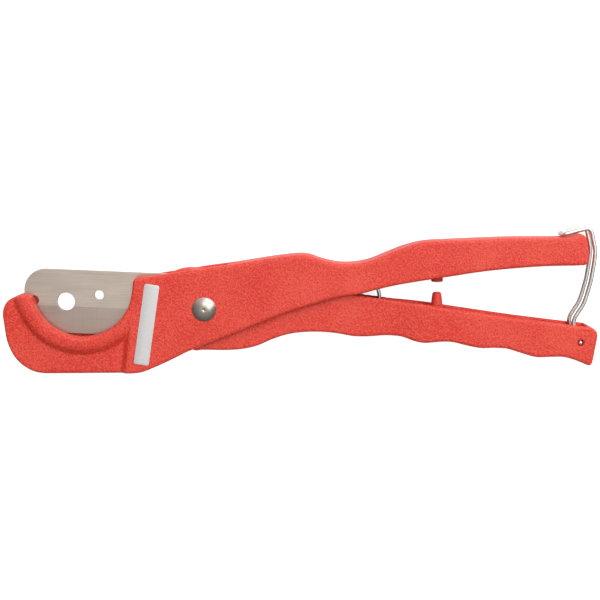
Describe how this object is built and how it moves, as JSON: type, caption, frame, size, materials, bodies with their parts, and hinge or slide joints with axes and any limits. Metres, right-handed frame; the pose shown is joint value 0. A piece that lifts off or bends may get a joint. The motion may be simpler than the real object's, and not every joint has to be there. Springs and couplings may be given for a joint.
{
  "type": "pvc pipe cutter",
  "caption": "Ratchetless plastic pipe cutter: round cradle jaw, pivoting flat blade on a second handle, return spring and a wire latch over the handle ends.",
  "frame": {"origin": "on the pivot axis, in the plane that the tool lies on, at the middle of the pivot bolt's end face", "axes": "+X from the pivot along the handles to their ends, +Y towards the back of the upper handle, +Z along the pivot axis to the domed bolt head"},
  "size_m": [0.2694, 0.0669, 0.0191],
  "materials": {
    "frame_coating": "red fine-wrinkle coating, semi-matt",
    "handle_coating": "red fine-wrinkle coating, semi-matt",
    "blade_steel": "ground and brushed along the blade",
    "pivot_steel": "polished plated steel",
    "washer_bronze": "plain turned",
    "spring_wire": "plain spring wire",
    "latch_steel": "bright zinc plated wire",
    "label_foil": "satin silver foil, blank"
  },
  "bodies": {
    "frame": {"frame": "frame_coating", "pivot_bolt": "pivot_steel", "pivot_sleeve_nut": "pivot_steel", "thrust_washer_front": "washer_bronze", "thrust_washer_back": "washer_bronze", "name_label": "label_foil"},
    "blade_handle": {"blade_handle": "handle_coating", "cutting_blade": "blade_steel", "blade_pin_outer": "pivot_steel", "blade_pin_inner": "pivot_steel"},
    "spring_front": {"return_spring_front": "spring_wire"},
    "spring_back": {"return_spring_back": "spring_wire"},
    "latch": {"latch_wire": "latch_steel"}
  },
  "joints": [
    {"name": "handle_pivot", "type": "hinge", "parent": "frame", "child": "blade_handle", "pos_m": [0, 0, 0.0085], "axis": [0, 0, -1], "range_deg": [-2.4, 47]},
    {"name": "latch_pivot", "type": "hinge", "parent": "blade_handle", "child": "latch", "pos_m": [0.1701, -0.0154, 0.0085], "axis": [0, 0, -1], "range_deg": [0, 34], "deforming": ["latch_wire"]},
    {"name": "spring_swing", "type": "hinge", "parent": "frame", "child": "spring_front", "pos_m": [0.045, 0.00954, 0.0085], "axis": [0, 0, -1], "range_deg": [-3.7, 71.4]},
    {"name": "spring_flex", "type": "hinge", "parent": "spring_front", "child": "spring_back", "pos_m": [0.072, 0.005, 0.0085], "axis": [0, 0, 1], "range_deg": [-4.9, 95.8]}
  ],
  "couplings": [
    {"joint": "spring_swing", "follows": "handle_pivot", "ratio": 1.518},
    {"joint": "spring_flex", "follows": "handle_pivot", "ratio": 2.036}
  ]
}
